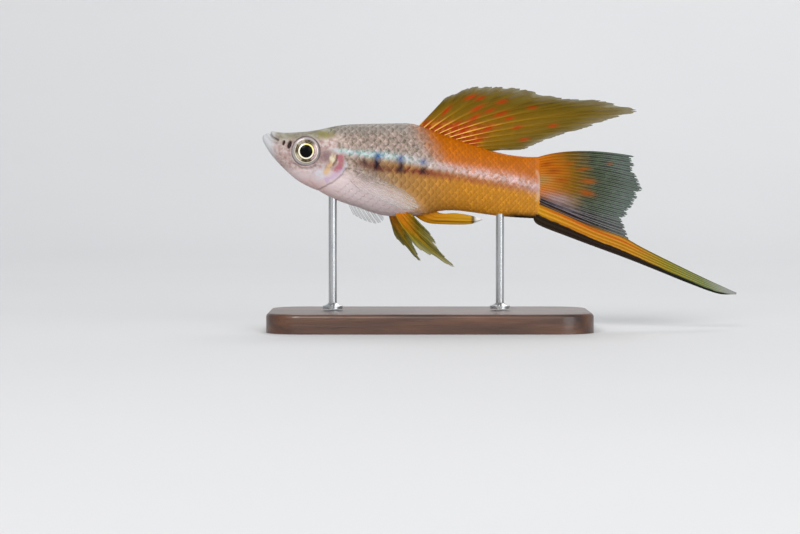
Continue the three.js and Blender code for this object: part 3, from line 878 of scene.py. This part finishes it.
# %% A fin's sheet
def ray_ridges(a, r, rays, fork):
    """1 on a ray or one of its branches, falling to 0 between them."""
    off = a * (rays - 1) - np.round(a * (rays - 1))
    first = 0.2 * smooth(r, fork, fork + 0.3)
    second = 0.09 * smooth(r, fork + 0.25, 1.0)
    width = 0.15 - 0.07 * smooth(r, fork, 1.0)
    branches = [side * first + small * second for side in (-1, 1) for small in (-1, 1)]
    return np.max([hump(off - branch, width) for branch in branches], axis=0)


points_per_ray = 12


def add_fin(name, centre, rays, rows, web, crest, fork=0.4, fringe=0.035, ragged=0.0, rounded=False):
    """A fin from its centre surface; web and crest are the thickness at root and margin, in mm."""
    columns = (rays - 1) * points_per_ray
    fin = start(bpy.ops.mesh.primitive_grid_add, name, x_subdivisions=columns, y_subdivisions=rows, size=1.0)
    grid = coordinates(fin)
    a, r = np.clip(grid[:, 0] + 0.5, 0, 1), np.clip(grid[:, 1] + 0.5, 0, 1)
    ridges = ray_ridges(a, r, rays, fork)
    at_margin = ray_ridges(a, np.ones_like(a), rays, fork)
    reach = 1 - fringe * (1 - at_margin) - ragged * (1 + np.sin(47 * a)) * (1 + np.sin(18 * a))
    points = centre(a, r * reach)
    move_to(fin, into_world(points))
    thickness = (web[0] + (web[1] - web[0]) * r) + ridges * 2 * (crest[0] + (crest[1] - crest[0]) * r)
    if rounded:
        thickness *= np.sqrt(np.clip(1 - (2 * a - 1) ** 2, 0.06, 1))
    most = thickness.max()
    group = fin.vertex_groups.new(name="thickness")
    for index, amount in enumerate(thickness / most):
        group.add([index], float(amount), "REPLACE")
    write_values(fin, {"ray": ridges, "across": a, "along": r, "fin_s": points[:, 0], "fin_z": points[:, 2]})
    solid = fin.modifiers.new("thickness", "SOLIDIFY")
    solid.thickness = most * MM
    solid.offset = 0.0
    solid.vertex_group = "thickness"
    bpy.context.view_layer.objects.active = fin
    bpy.ops.object.modifier_apply(modifier="thickness")
    seal(fin)
    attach(fin, "root")
    return fin


def kept_numbers(piece, name):
    numbers = np.empty(len(piece.data.vertices), np.float32)
    piece.data.attributes[name].data.foreach_get("value", numbers)
    return numbers.astype(float)


def add_spots(fin, spots, name="spot"):
    """Marks spots on a fin, each with s, z, slope in degrees, half length and half width."""
    s, z = kept_numbers(fin, "fin_s"), kept_numbers(fin, "fin_z")
    marks = np.zeros(len(s))
    for spot_s, spot_z, slope, long, wide in spots:
        lean = np.radians(slope)
        along = (s - spot_s) * np.cos(lean) + (z - spot_z) * np.sin(lean)
        over = (z - spot_z) * np.cos(lean) - (s - spot_s) * np.sin(lean)
        marks = np.maximum(marks, hump(np.hypot(along / long, over / wide), 0.9))
    write_values(fin, {name: marks})


# %% Dorsal fin
dorsal = add_fin(
    "dorsal",
    fan(
        roots=[(27.6, 36.3), (30.1, 35.2), (32.4, 34.2), (35.3, 33.2), (38.6, 32.2)],
        tips=[
            (32.9, 41.8), (37.4, 43.6), (41.8, 43.8), (46.8, 43.3), (54.6, 41.6), (61.8, 41.2), (67.5, 39.4),
            (62.6, 37.9), (58.1, 36.3), (53.1, 34.9), (49.7, 33.6), (46.8, 32.5), (42.8, 32.55),
        ],
        angles=(43, -4),
        lean=lambda a, r: -1.5 * r * r * np.sin(np.pi * (0.15 + 0.6 * a)),
    ),
    rays=13, rows=110, web=(0.26, 0.1), crest=(0.13, 0.05), fork=0.5, ragged=0.004,
)
add_spots(dorsal, [
    (37.3, 41.8, 20, 1.3, 0.4), (39.1, 41.6, 20, 1.0, 0.35), (43.0, 41.0, 15, 1.1, 0.4),
    (38.5, 39.8, 28, 1.5, 0.4), (40.8, 39.4, 24, 1.1, 0.35), (38.0, 38.1, 32, 1.5, 0.4),
    (42.8, 38.8, 20, 1.4, 0.4), (44.3, 38.0, 15, 0.9, 0.35), (40.5, 36.2, 28, 1.2, 0.4),
    (30.4, 39.6, 50, 0.9, 0.3), (33.0, 39.4, 45, 1.3, 0.35), (34.7, 36.7, 40, 1.1, 0.35),
    (36.0, 35.9, 36, 1.2, 0.35), (38.9, 34.2, 20, 1.0, 0.35), (48.4, 40.0, 5, 0.9, 0.3),
    (52.2, 36.7, 8, 0.9, 0.3), (47.0, 34.2, 8, 0.9, 0.3), (45.8, 36.4, 14, 1.0, 0.3),
])

# %% Tail fan
tail_fan = add_fin(
    "tail",
    fan(
        roots=[(48.7, 30.8), (49.2, 28.9), (49.3, 27), (49.2, 25.2), (48.9, 23.4)],
        tips=[
            (67.3, 31.2), (67.1, 29.2), (67.9, 26.8), (68.6, 25.1), (67.6, 23.7), (66.7, 22.3), (65.9, 20.8),
            (65.2, 19.1), (66.2, 16.1),
        ],
        angles=(20, -27),
        lean=lambda a, r: 0.5 * r * np.sin(6 * a),
    ),
    rays=21, rows=90, web=(0.3, 0.08), crest=(0.16, 0.05), fork=0.35, fringe=0.032, ragged=0.009,
)
across_tail, along_tail = kept_numbers(tail_fan, "across"), kept_numbers(tail_fan, "along")
faded = 1 - 0.6 * smooth(along_tail, 0.4, 1)
write_values(tail_fan, {
    "dusk": smooth(across_tail, 0.78, 0.93) * smooth(along_tail, 0.0, 0.06) * faded,
    "silver": 0.7 * hump(across_tail - 0.8, 0.1) * hump(along_tail - 0.3, 0.2),
    "olive": 0.8 * hump(across_tail - 0.5, 0.14) * hump(along_tail - 0.02, 0.16),
})
add_spots(tail_fan, [
    (51.2, 29.8, 10, 1.5, 0.6), (52.4, 28.6, 8, 1.6, 0.7), (55.3, 29.9, 12, 1.0, 0.3),
    (57.6, 28.9, 6, 1.3, 0.3), (53.8, 26.9, 0, 1.3, 0.4), (58.6, 26.7, -4, 1.4, 0.5),
    (58.3, 24.6, -12, 1.5, 0.6), (62.6, 29.9, 3, 0.6, 0.2),
])

# %% Sword and gonopodium
sword = add_fin(
    "sword_blade",
    between_edges(
        upper=[
            (48.6, 23.7), (50, 23.2), (54.2, 21.45), (59.9, 18.75), (64.6, 16.9), (68.5, 14.75), (74.2, 11.9),
            (80, 9.1), (85.6, 6.55),
        ],
        lower=[
            (48.6, 20.4), (49.6, 18.9), (54.7, 16.85), (59.9, 14.9), (65.6, 12.8), (71.4, 10.5), (77.1, 8.2),
            (82.2, 6.4), (85.5, 6.25),
        ],
    ),
    rays=7, rows=150, web=(0.5, 0.2), crest=(0.12, 0.05), fork=0.9, fringe=0.0,
)
gonopodium = add_fin(
    "gonopodium_rod",
    between_edges(
        upper=[(29.5, 22.4), (32, 21), (34.6, 21), (37.3, 20.6), (39.5, 19.9)],
        lower=[(26.4, 21.2), (29.2, 19.4), (32.4, 19), (37.1, 19), (39.5, 19.75)],
    ),
    rays=4, rows=70, web=(0.9, 0.5), crest=(0.1, 0.05), fork=0.9, fringe=0.0, rounded=True,
)

# %% Paired fins
pelvic_shape = {
    "left": (
        [(23.6, 21.5), (24.6, 21.5), (25.6, 21.4)],
        [(27.9, 14.7), (34.5, 11.3), (31.9, 14.1), (31, 16), (29.9, 17.6), (28.4, 19)], (-70, -25),
    ),
    "right": (
        [(22.7, 21.7), (23.4, 21.6), (24.1, 21.5)],
        [(23.8, 16.6), (28.4, 12.1), (27.6, 14), (26.8, 15.8), (26.1, 17.3), (25.4, 18.6)], (-85, -50),
    ),
}
pectoral_shape = {
    "left": (
        [(15, 29.1), (15, 28.4), (15, 27.7)],
        [(22, 26.6), (25, 25.3), (27.2, 23.8), (28.2, 22.1), (26.6, 21.7), (24.2, 22.2), (21.6, 23.4)],
        (-8, -48), 4.6,
    ),
    "right": (
        [(14.6, 27.9), (14.8, 28.5), (15.1, 29)],
        [(16.2, 20.6), (17.1, 20.1), (18.2, 19.5), (19.4, 19.1), (20.5, 18.9), (21.6, 19.3), (22, 20.6)],
        (-100, -50), 4.0,
    ),
}


def hanging(side):
    """A pelvic fin's lean, out and down from the belly."""
    return lambda a, r: side * (1.3 + 2.7 * r**1.2 + 0.8 * a * r)


def held_out(side, out):
    """A pectoral fin's lean, out from the flank."""
    return lambda a, r: side * (3 + out * r)


pelvics = []
pectorals = []
for side, hand in ((-1, "left"), (1, "right")):
    roots, tips, angles = pelvic_shape[hand]
    pelvics.append(add_fin(
        f"pelvic_{hand}", fan(roots, tips, angles, hanging(side), pull=0.35),
        rays=6, rows=70, web=(0.3, 0.1), crest=(0.14, 0.05), fork=0.45, fringe=0.1,
    ))
    roots, tips, angles, out = pectoral_shape[hand]
    pectorals.append(add_fin(
        f"pectoral_{hand}", fan(roots, tips, angles, held_out(side, out), pull=0.45),
        rays=9, rows=60, web=(0.2, 0.06), crest=(0.12, 0.04), fork=0.4, fringe=0.05,
    ))


# %% [markdown]
# ## The fins' finishes
#
# Fins are stained glass: clear skin with pigment along the rays. A colour ramp runs from root to
# margin, the rays take a second colour, and spots lie on top. The skin between the rays lets light
# through, more towards the margin, so that Alpha is less there.

# %% Fin finish
def fin_finish(name, skin_stops, ray_stops, clear_stops, marks=(), ray_clear=0.25, dusk=None):
    """Stops run from root to margin; clear is how much light passes the skin between the rays."""
    finish = Finish(name)
    blend, between, kept = finish.blend, finish.between, finish.kept
    along, ray = kept("along"), kept("ray")
    cells = finish.noise(900.0, 3.0)
    clouds = finish.noise(260.0, 2.0)
    wander = along + (clouds - 0.5) * 0.18
    core = between(ray, 0.35, 0.95)
    skin_colour, ray_colour = finish.ramp(wander, skin_stops), finish.ramp(wander, ray_stops)
    if dusk:
        skin_colour = blend(kept("dusk"), skin_colour, dusk[0])
        ray_colour = blend(kept("dusk"), ray_colour, dusk[1])
    base = blend(core * 0.9, skin_colour, ray_colour)
    base = blend(between(cells, 0.45, 0.75) * 0.3, base, ray_colour)
    solid = ray * (1 - ray_clear)
    for mark, shade in marks:
        amount = kept(mark)
        base = blend(amount * (0.6 + cells * 0.7), base, shade)
        solid = finish.node("ShaderNodeMath", {"operation": "MAXIMUM"}, {0: solid, 1: amount})
    clear_stops = [(place, (amount, amount, amount, 1.0)) for place, amount in clear_stops]
    clear = finish.node("ShaderNodeValToRGB", {"stops": clear_stops}, {"Fac": wander})
    alpha = 1 - clear * (1 - solid)
    joints = finish.node("ShaderNodeMath", {"operation": "SINE"}, {0: along * 260.0})
    return finish.set(
        Base_Color=base,
        Alpha=alpha,
        Roughness=0.42 + cells * 0.18,
        Specular_IOR_Level=0.08,
        Coat_Weight=0.04,
        Coat_Roughness=0.2,
        Normal=finish.bump(joints * ray * 0.5 + cells),
    )


dorsal_material = fin_finish(
    "dorsal fin",
    skin_stops=[(0, 132, 36, 4), (0.2, 136, 54, 4), (0.38, 112, 80, 2),
                (0.75, 94, 74, 2), (0.93, 104, 86, 26), (1, 130, 124, 100)],
    ray_stops=[(0, 250, 212, 110), (0.18, 228, 172, 60), (0.36, 146, 108, 8),
               (0.8, 86, 66, 6), (1, 118, 110, 84)],
    clear_stops=[(0.0, 0.0), (0.5, 0.01), (0.85, 0.05), (1.0, 0.35)],
    marks=[("spot", (158, 44, 0))],
)
tail_material = fin_finish(
    "tail fin",
    skin_stops=[(0, 186, 102, 4), (0.2, 170, 94, 4), (0.42, 104, 70, 8),
                (0.62, 34, 40, 26), (1, 24, 34, 30)],
    ray_stops=[(0, 190, 106, 6), (0.22, 160, 98, 10), (0.42, 134, 106, 24),
               (0.6, 94, 104, 78), (1, 110, 124, 116)],
    clear_stops=[(0.0, 0.0), (0.3, 0.02), (0.6, 0.1), (1.0, 0.34)],
    marks=[("olive", (136, 126, 76)), ("silver", (140, 128, 134)), ("spot", (142, 70, 8))],
    dusk=((14, 14, 16), (120, 112, 120)),
)
pelvic_material = fin_finish(
    "pelvic fin",
    skin_stops=[(0, 200, 112, 6), (0.3, 168, 104, 6), (0.65, 98, 84, 6),
                (1, 120, 118, 70)],
    ray_stops=[(0, 214, 144, 20), (0.4, 176, 132, 20), (0.8, 140, 126, 36),
               (1, 156, 150, 106)],
    clear_stops=[(0.0, 0.0), (0.5, 0.01), (1.0, 0.2)],
)
pectoral_material = fin_finish(
    "pectoral fin",
    skin_stops=[(0, 206, 184, 170), (0.4, 200, 186, 180), (1, 196, 200, 202)],
    ray_stops=[(0, 206, 186, 170), (0.4, 206, 196, 188), (1, 176, 184, 188)],
    clear_stops=[(0.0, 0.85), (0.3, 0.94), (1.0, 0.95)],
    ray_clear=0.72,
)


# %% Sword finish
def sword_finish():
    finish = Finish("sword")
    blend, between = finish.blend, finish.between
    across, along, ray = finish.kept("across"), finish.kept("along"), finish.kept("ray")
    cells = finish.noise(700.0, 3.0)
    wander = across + (cells - 0.5) * 0.1
    gold = finish.ramp(along, [(0, 174, 128, 2), (0.3, 164, 98, 2), (0.55, 152, 98, 4),
                               (0.7, 100, 98, 18), (0.84, 76, 100, 66), (1, 142, 150, 158)])
    red = between(wander, 0.36, 0.26) * between(wander, 0.1, 0.22)
    red = red * between(along, 0.75, 0.5) * between(along, 0.05, 0.25)
    base = blend(red * 0.6, gold, (172, 66, 2))
    upper = between(across, 0.22, 0.14) * between(along, 0.5, 0.3)
    base = blend(upper * 0.9, base, (24, 20, 20))
    lower = between(wander - along * 0.32, 0.5, 0.57) * between(along, 1.0, 0.9)
    base = blend(lower * 0.97, base, (12, 12, 12))
    base = blend(between(wander, 0.08, 0.03) * 0.9, base, (30, 26, 30))
    base = blend(ray * 0.2 * (1 - upper) * (1 - lower), base, (250, 206, 90))
    joints = finish.node("ShaderNodeMath", {"operation": "SINE"}, {0: along * 420.0})
    return finish.set(
        Base_Color=base,
        Roughness=0.42 + cells * 0.16,
        Specular_IOR_Level=0.08,
        Coat_Weight=0.04,
        Coat_Roughness=0.2,
        Normal=finish.bump(joints * ray * 0.5 + cells),
    )


def gonopodium_finish():
    finish = Finish("gonopodium")
    across, along = finish.kept("across"), finish.kept("along")
    cells = finish.noise(900.0, 3.0)
    base = finish.ramp(along, [(0, 172, 102, 6), (0.4, 170, 116, 6), (0.76, 168, 124, 20),
                               (0.81, 72, 60, 40), (0.88, 210, 208, 204)])
    line = finish.between(across, 0.62, 0.7) * finish.between(across, 0.84, 0.76)
    base = finish.blend(line * finish.between(along, 0.2, 0.4) * 0.6, base, (70, 52, 24))
    roughness = 0.42 + cells * 0.16
    return finish.set(Base_Color=base, Roughness=roughness, Specular_IOR_Level=0.1, Normal=finish.bump(cells))


dressed = [
    (dorsal, dorsal_material, "orange_fin", "dorsal_fin"),
    (tail_fan, tail_material, "clear_fin", "tail_fan"),
    (sword, sword_finish(), "sword", "sword"),
    (gonopodium, gonopodium_finish(), "sword", "gonopodium"),
    (pelvics[0], pelvic_material, "orange_fin", "pelvic_fin_left"),
    (pelvics[1], pelvic_material, "orange_fin", "pelvic_fin_right"),
    (pectorals[0], pectoral_material, "clear_fin", "pectoral_fin_left"),
    (pectorals[1], pectoral_material, "clear_fin", "pectoral_fin_right"),
]
for piece, material, slot, node in dressed:
    piece.data.materials.append(material)
    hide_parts(node)

# %% [markdown]
# ## The stand
#
# The fish swims, so the model stands on two thin steel pins in a dark wooden board. The board is a box
# with bevelled edges, and each pin is a thin cylinder with a turned foot.

# %% Board
base_length, base_width, base_height = 58.0, 30.0, 3.5
board = start(bpy.ops.mesh.primitive_cube_add, "board", size=1.0, location=(0, 0, base_height * MM / 2))
board.scale = (base_length * MM, base_width * MM, base_height * MM)
bpy.ops.object.transform_apply(location=True, rotation=True, scale=True)
select_where(board, lambda _, corners: abs(corners[0].z - corners[1].z) > 0.001, "edges")
bpy.ops.mesh.bevel(offset=6.5 * MM, segments=14)
board_top = (base_height - 0.01) * MM
select_where(board, lambda _, corners: min(corner.z for corner in corners) > board_top, "edges")
bpy.ops.mesh.bevel(offset=0.7 * MM, segments=5)
bpy.ops.object.mode_set(mode="OBJECT")
bpy.ops.object.shade_smooth_by_angle(angle=np.radians(35))
bpy.ops.object.select_all(action="DESELECT")


# %% Wood and steel
def wood_finish():
    finish = Finish("dark wood")
    along_grain = finish.stretched(28.0, 300.0, 300.0)
    rings = finish.noise(1.0, 6.0, along_grain, twist=0.6)
    pores = finish.noise(7.0, 3.0, along_grain)
    base = finish.ramp(rings, [(0.3, 44, 26, 17), (0.5, 74, 45, 29), (0.7, 98, 62, 40)])
    base = finish.blend(finish.between(pores, 0.62, 0.75) * 0.6, base, (30, 18, 12))
    return finish.set(
        Base_Color=base, Roughness=0.34 + pores * 0.2, Coat_Weight=0.3, Coat_Roughness=0.2,
        Normal=finish.bump(rings * 0.4 + pores, 0.06 * MM),
    )


def steel_finish():
    finish = Finish("brushed steel")
    strokes = finish.noise(3.0, 4.0, finish.stretched(900.0, 900.0, 40.0))
    base = finish.blend(strokes, (178, 180, 182), (206, 207, 208))
    grain = finish.bump(strokes, 0.02 * MM)
    return finish.set(Base_Color=base, Metallic=1.0, Roughness=0.2 + strokes * 0.16, Normal=grain)


board.data.materials.append(wood_finish())
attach(board, "root")
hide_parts("stand_base")

# %% Pins
steel = steel_finish()
for name, pin_s in (("front", 12.6), ("rear", 42.7)):
    foot = base_height + 0.3
    top = float(belly(pin_s)) + 0.4
    x, y = (snout_x + pin_s) * MM, float(sway(pin_s)) * MM
    pin = start(
        bpy.ops.mesh.primitive_cylinder_add, f"pin_{name}", vertices=48, radius=1.8 * MM, depth=0.5 * MM,
        location=(x, y, (foot + 0.25) * MM),
    )
    bpy.ops.object.transform_apply(location=True)
    for narrow, rise in ((0.58, 0.3), (0.714, 0.3), (1.0, top - foot - 1.1)):
        highest = max(vertex.co.z for vertex in pin.data.vertices)
        select_where(pin, lambda middle, _, highest=highest: middle.z > highest - 1e-6)
        bpy.ops.mesh.extrude_region_move(TRANSFORM_OT_translate={"value": (0, 0, rise * MM)})
        bpy.ops.transform.resize(value=(narrow, narrow, 1.0), center_override=(x, y, 0.0))
        bpy.ops.object.mode_set(mode="OBJECT")
    bpy.ops.object.shade_smooth_by_angle(angle=np.radians(40))
    bpy.ops.object.select_all(action="DESELECT")
    pin.data.materials.append(steel)
    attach(pin, "root")
    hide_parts(f"stand_pin_{name}")
